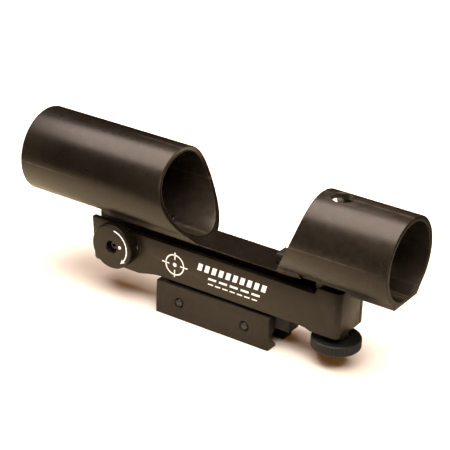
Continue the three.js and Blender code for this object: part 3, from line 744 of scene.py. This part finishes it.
# ------------------------------------------------------------------ clamp
def make_clamp():
    near_low, near_high = drawn("near_jaw")
    edge = 0.15
    face, lip, back = -near_low.y, 2.6, 3.7
    top, bottom = near_high.z, near_low.z
    ends = (near_low.x, near_high.x)
    outline = [(-face, top - edge), (-face, bottom + edge), (edge - face, bottom), (-lip, bottom),
               (-lip, bottom + 0.8), (-6.1, -43.3), (-back, -39.9), (-back, top), (edge - face, top)]
    screws = ("clamp_screw_1", "clamp_screw_2")
    places = []
    for node in screws:
        low, high = drawn(node)
        places.append(((low.x + high.x) / 2, (low.z + high.z) / 2))
    for node, side in (("near_jaw", 1), ("far_jaw", -1)):
        jaw = prism(node + "_body", [(side * y, z) for y, z in outline], ends, "yz", 0.12, 20)
        mouths = (-face,) if side > 0 else (face,)
        span = (-face - PAST, 0) if side > 0 else (0, face + PAST)
        carve(jaw, *[drill("y", place, 1.65, *span, mouths=mouths, flare=0.5) for place in places])
        show(jaw, node, "anodised", ANODISED_JAW)
    for node, place in zip(screws, places):
        low, high = drawn(node)
        shank, head = 1.5, high.x - place[0]
        profile = [(0, low.y), (0.5, low.y + 0.05), (1.0, low.y + 0.22), (1.3, low.y + 0.45),
                   (shank, low.y + 0.8), (shank, 8.2), (head - 0.3, 8.2), (head, 8.5)]
        profile += [(head, 8.5 + k * 0.6) for k in range(1, 6)]
        profile += [(head, high.y - 0.4), (head - 0.4, high.y), (0, high.y)]
        teeth = 40
        screw = spin(node + "_turned", "y", place, profile, segments=teeth * 6,
                     ripple=knurled(teeth, 0.22, head, 8.5, high.y - 0.4))
        carve(screw, block("tool", (place[0] - 0.4, place[0] + 0.4), (high.y - 0.9, high.y + PAST),
                           (place[1] - 5, place[1] + 5)))
        show(screw, node, "screw_black", SCREW_BLACK)
    bar_low, bar_high = drawn("base_bar")
    half = bar_high.y
    bar = prism("base_bar_body", [(-half, bar_high.z), (-half, bar_low.z + 0.6), (0.6 - half, bar_low.z),
                                  (half - 0.6, bar_low.z), (half, bar_low.z + 0.6), (half, bar_high.z)],
                (bar_low.x, bar_high.x), "yz", 0.2)
    carve(bar, *[drill("y", place, 1.7, -5, 5) for place in places],
          *[drill("z", (x, 0), 1.6, -38.8, -32) for x in BASE_SCREWS])
    show(bar, "base_bar", "anodised_dark", ANODISED_DARK)


make_clamp()


# ------------------------------------------------------------------ battery cap and dimmer
def make_far_side():
    low, high = drawn("battery_cap")
    radius = high.x - BATTERY[0]
    profile = [(0, low.y), (4.9, low.y), (4.9, 11.1), (radius - 0.2, 11.1), (radius, 11.3)]
    profile += [(radius, 11.3 + k * 0.18) for k in range(1, 6)]
    profile += [(radius, high.y - 0.3), (radius - 0.3, high.y), (0, high.y)]
    teeth = 60
    cap = spin("battery_cap_body", "y", BATTERY, profile, segments=teeth * 6,
               ripple=knurled(teeth, 0.15, radius, 11.25, high.y - 0.25))
    carve(cap, block("tool", (BATTERY[0] - 5, BATTERY[0] + 5), (high.y - 0.8, high.y + PAST),
                     (BATTERY[1] - 0.6, BATTERY[1] + 0.6), 0.2))
    show(cap, "battery_cap", "anodised", ANODISED)
    low, high = drawn("dimmer_knob")
    radius = high.x - DIMMER[0]
    back = high.y - 3.8
    profile = [(0, low.y), (1.5, low.y), (1.5, back), (radius - 0.3, back), (radius, back + 0.3)]
    profile += [(radius, back + 0.3 + k * 0.5) for k in range(1, 6)]
    profile += [(radius, high.y - 0.4), (radius - 0.4, high.y), (0, high.y)]
    teeth = 44
    knob = spin("dimmer_knob_body", "y", DIMMER, profile, segments=teeth * 6,
                ripple=knurled(teeth, 0.25, radius, back + 0.3, high.y - 0.4))
    carve(knob, block("tool", (DIMMER[0] - 0.35, DIMMER[0] + 0.35), (high.y - 0.5, high.y + PAST),
                      (DIMMER[1] + 1.8, DIMMER[1] + 7)))
    show(knob, "dimmer_knob", "knob_black", KNOB_BLACK)
    mark = block("dimmer_mark", (DIMMER[0] - 0.3, DIMMER[0] + 0.3), (high.y - 0.55, high.y - 0.3),
                 (DIMMER[1] + 1.9, DIMMER[1] + radius - 0.6), 0.03)
    paint(mark, "dimmer")


# ------------------------------------------------------------------ printed marks
def paint(obj, body):
    """Finishes a printed mark, which rides on a body and stands for no CAD node."""
    obj.data.transform(TO_FRAME)
    obj.data.materials.append(PRINT)
    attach(obj, body)
    return obj


INK = 0.03           # thickness of the print
SUNK = 0.05          # how far it is let into the metal


def inked(name, outlines, face):
    """Flat shapes in the XZ plane, just proud of a face that looks along -Y."""
    bm = bmesh.new()
    for outline in outlines:
        part = prism_mesh(outline, (face - INK, face + SUNK), "xz")
        mesh = bpy.data.meshes.new("part")
        part.to_mesh(mesh)
        part.free()
        bm.from_mesh(mesh)
        bpy.data.meshes.remove(mesh)
    return object_of(name, bm)


def band(centre, radius, width, start, end, steps):
    """A curved stroke; angles in degrees, clockwise from the top as seen from the -Y side."""
    angles = [math.radians(start + (end - start) * k / steps) for k in range(steps + 1)]
    across, up = centre
    outer = [(across + (radius + width / 2) * math.sin(a), up + (radius + width / 2) * math.cos(a))
             for a in angles]
    inner = [(across + (radius - width / 2) * math.sin(a), up + (radius - width / 2) * math.cos(a))
             for a in reversed(angles)]
    return outer + inner


def bar_outline(x0, x1, z0, z1, slant=0.0):
    return [(x0, z0), (x1, z0), (x1 + slant, z1), (x0 + slant, z1)]


def dot_outline(centre, radius, steps=24):
    return [(centre[0] + radius * math.cos(2 * math.pi * k / steps),
             centre[1] + radius * math.sin(2 * math.pi * k / steps)) for k in range(steps)]


def make_prints():
    face = -HOUSE_HALF
    centre = (-30.2, -26.4)
    ring = [band(centre, 3.9, 0.5, start, start + 90, 16) for start in (0, 90, 180, 270)]
    across, up = centre
    ticks = [bar_outline(across + side * 2.4, across + side * 5.6, up - 0.25, up + 0.25)
             for side in (-1, 1)]
    ticks += [bar_outline(across - 0.25, across + 0.25, up + side * 2.0, up + side * 4.9)
              for side in (-1, 1)]
    paint(inked("print_reticle", [*ring, *ticks, dot_outline(centre, 0.8)], face), "housing")
    bars = [bar_outline(-20.4 + 3.0 * k, -18.6 + 3.0 * k, -25.2, -22.4, 0.7) for k in range(10)]
    bars += [bar_outline(-15.6 + 4.6 * k, -12.2 + 4.6 * k, -27.7, -26.9, 0.2) for k in range(5)]
    bars += [bar_outline(-15.6 + 3.1 * k, -13.4 + 3.1 * k, -29.6, -29.15, 0.1) for k in range(7)]
    paint(inked("print_bars", bars, face), "housing")
    knob_face = drawn("azimuth_knob")[0].y
    centre = (AZ_X, ADJUST_Z)
    stroke = band(centre, 7.0, 0.5, 10, 128, 40)
    tip, base = math.radians(142), math.radians(126)
    head = [(centre[0] + 7.0 * math.sin(tip), centre[1] + 7.0 * math.cos(tip)),
            (centre[0] + 7.8 * math.sin(base), centre[1] + 7.8 * math.cos(base)),
            (centre[0] + 6.2 * math.sin(base), centre[1] + 6.2 * math.cos(base))]
    dot = dot_outline((centre[0] + 3.9, centre[1] + 0.9), 0.65)
    paint(inked("print_arrow", [stroke, head, dot], knob_face), "azimuth_adjuster")


make_far_side()
make_prints()


# ------------------------------------------------------------------ inner round pieces
def make_round_pieces():
    """Pins, bushes, nuts and screws: smooth turned copies of the CAD's faceted ones."""
    for node in ("azimuth_bush", "azimuth_nut"):
        low, high = drawn(node)
        middle = ((low.x + high.x) / 2, (low.z + high.z) / 2)
        bore = 1.6 if node == "azimuth_bush" else 1.85
        show(tube_ring(node + "_turned", "y", middle, high.x - middle[0], bore, low.y, high.y),
             node, "brass", BRASS)
    for node in ("altitude_bush", "altitude_nut"):
        low, high = drawn(node)
        bore = 1.6 if node == "altitude_bush" else 1.85
        turned = tube_ring(node + "_turned", "z", (ALT_X, 0), high.y, bore, low.z, high.z)
        show(turned, node, "brass", BRASS)
    low, high = drawn("altitude_pin")
    show(disc("altitude_pin_turned", "y", (TILT_X, ADJUST_Z),
              [(0, low.y), (1.5, low.y), (1.5, high.y), (0, high.y)], 0.3, segments=64),
         "altitude_pin", "steel", STEEL)
    low, high = drawn("altitude_screw")
    show(disc("altitude_screw_turned", "z", (ALT_X, 0),
              [(0, low.z), (1.5, low.z), (1.5, high.z), (0, high.z)], 0.3, segments=64),
         "altitude_screw", "steel", STEEL)
    low, high = drawn("azimuth_pivot_screw")
    pivot = disc("azimuth_pivot_screw_turned", "z", (SWING_X, 0),
                 [(0, low.z), (1.5, low.z), (1.5, -14.8), (2, -14.8), (2, -13.2), (3.5, -13.2),
                  (3.5, high.z), (0, high.z)], 0.25, segments=96)
    carve(pivot, block("tool", (SWING_X - 4, SWING_X + 4), (-0.4, 0.4), (high.z - 0.8, high.z + PAST)))
    show(pivot, "azimuth_pivot_screw", "steel", STEEL)
    low, high = drawn("battery_cell")
    section = [(0, low.y), (5, low.y), (5, high.y), (0, high.y)]
    show(disc("battery_cell_turned", "y", BATTERY, section, 0.4, segments=96),
         "battery_cell", "nickel", NICKEL)
    for index, x in enumerate(KEEL_SCREWS):
        node = f"keel_screw_{index + 1}"
        low, high = drawn(node)
        screw = disc(node + "_turned", "z", (x, 0), [(0, low.z), (1, low.z), (1, -13.4), (2, -13.4),
                                                    (2, high.z), (0, high.z)], 0.2, segments=64)
        carve(screw, block("tool", (x - 3, x + 3), (-0.25, 0.25), (high.z - 0.5, high.z + PAST)))
        show(screw, node, "steel", STEEL)
    for index, x in enumerate(BASE_SCREWS):
        node = f"base_screw_{index + 1}"
        low, high = drawn(node)
        section = [(0, low.z), (1.5, low.z), (1.5, -31.05), (2.7, -31.05), (2.7, high.z), (0, high.z)]
        screw = disc(node + "_turned", "z", (x, 0), section, 0.25, segments=64)
        carve(screw, spin("tool", "z", (x, 0), [(0, high.z - 1), (1.2, high.z - 1), (1.2, high.z + PAST),
                                                (0, high.z + PAST)], segments=6))
        show(screw, node, "steel", STEEL)


make_round_pieces()

# ------------------------------------------------------------------ CAD nodes that stay
KEPT = {"keel": ANODISED_DARK, "tilt_arm": ANODISED_ARM, "led_lead": PLASTIC, "altitude_spring": STEEL,
        "altitude_clip": STEEL, "circuit_board": BOARD, "dimmer_potentiometer": PLASTIC,
        "battery_contact": NICKEL}
for node, material in KEPT.items():
    kept = frame["nodes"][node]
    kept.data.materials.clear()
    kept.data.materials.append(material)


# ------------------------------------------------------------------ floor and light
MIRRORED_SIZE = (3.1, 2.0)         # soft box that the finish mirrors, metres
MIRRORED_PLACE = (-0.5, -0.13, 2.0)
MIRRORED_ENERGY = 115
MAIN_SIZE = (2.2, 2.0)             # soft box that lights the floor and casts the shadows
MAIN_PLACE = (0.35, -0.35, 1.9)
MAIN_ENERGY = 165
CARD_PLACE = (-0.07, 0.02, 0.0002)
CARD_FULL = 0.09                   # the painted pool of light on the floor patch that the finish mirrors is full as far as this
CARD_END = 0.22                    # and the painted light has faded to black here
# painted light: the lit tone of the mirrored floor patch, which fades to black towards the card's edge
CARD_PAINTED_LIGHT = (0.50, 0.475, 0.355)
FLOOR_RADIUS = 6
FLOOR_COLOUR = (0.80, 0.79, 0.76)
MIRRORED_COLOUR = (1.0, 0.87, 0.80)
MAIN_COLOUR = (1.0, 0.87, 0.78)
WORLD_COLOUR = (1.0, 0.4, 0.1, 1)  # warm, weak light that fills the shadows
WORLD_STRENGTH = 0.3


def floor_disc(name, radius, place, colour):
    """A flat round piece of floor. place is its middle, with its height over the ground."""
    bm = bmesh.new()
    bmesh.ops.create_circle(bm, cap_ends=True, segments=96, radius=radius)
    floor = object_of(name, bm)
    floor.location = Vector(place) + Vector((0, 0, cad_box[0].z))
    material = bpy.data.materials.new(name)
    material.use_nodes = True
    shader = material.node_tree.nodes["Principled BSDF"]
    shader.inputs["Base Color"].default_value = (*colour, 1)
    shader.inputs["Roughness"].default_value = 0.8
    shader.inputs["Specular IOR Level"].default_value = 0.1
    floor.data.materials.append(material)
    return floor


def painted_light_card():
    """The part of the floor that shows in the finish, with a painted pool of light: its colour fades to
    black towards its edge.
    """
    card = floor_disc("floor_card_painted_light", CARD_END, CARD_PLACE, CARD_PAINTED_LIGHT)
    tree = card.data.materials[0].node_tree
    place = tree.nodes.new("ShaderNodeTexCoord").outputs["Object"]
    length = tree.nodes.new("ShaderNodeVectorMath")
    length.operation = "LENGTH"
    link(tree, place, length.inputs[0])
    share = ranged(tree, length.outputs["Value"], (CARD_FULL, CARD_END), (0, 1))
    # painted falloff of light: the colour darkens to black away from the card's middle
    painted_falloff = mixed(tree, share, CARD_PAINTED_LIGHT, (0.0, 0.0, 0.0))
    link(tree, painted_falloff, tree.nodes["Principled BSDF"].inputs["Base Color"])
    card.visible_camera = False
    card.visible_diffuse = False
    card.visible_shadow = False
    card.visible_transmission = False


def soft_box(name, size, place, energy, colour):
    """A rectangular light that faces straight down until it is turned."""
    data = bpy.data.lights.new(name, "AREA")
    data.shape = "RECTANGLE"
    data.size, data.size_y = size
    data.energy = energy
    data.color = colour
    light = bpy.data.objects.new(name, data)
    light.location = place
    bpy.context.scene.collection.objects.link(light)
    return light


def make_stage():
    floor = floor_disc("floor", FLOOR_RADIUS, (0, 0, 0), FLOOR_COLOUR)
    floor.visible_glossy = False
    painted_light_card()
    mirrored = soft_box("mirrored", MIRRORED_SIZE, MIRRORED_PLACE, MIRRORED_ENERGY, MIRRORED_COLOUR)
    mirrored.visible_diffuse = False
    mirrored.visible_transmission = False
    main = soft_box("main", MAIN_SIZE, MAIN_PLACE, MAIN_ENERGY, MAIN_COLOUR)
    main.visible_glossy = False
    main.rotation_euler = Vector(MAIN_PLACE).to_track_quat("Z", "Y").to_euler()
    world = bpy.data.worlds.new("studio")
    bpy.context.scene.world = world
    world.use_nodes = True
    background = world.node_tree.nodes["Background"]
    background.inputs["Color"].default_value = WORLD_COLOUR
    background.inputs["Strength"].default_value = WORLD_STRENGTH
    world.cycles_visibility.glossy = False
    bpy.context.scene.view_settings.view_transform = "Standard"


make_stage()
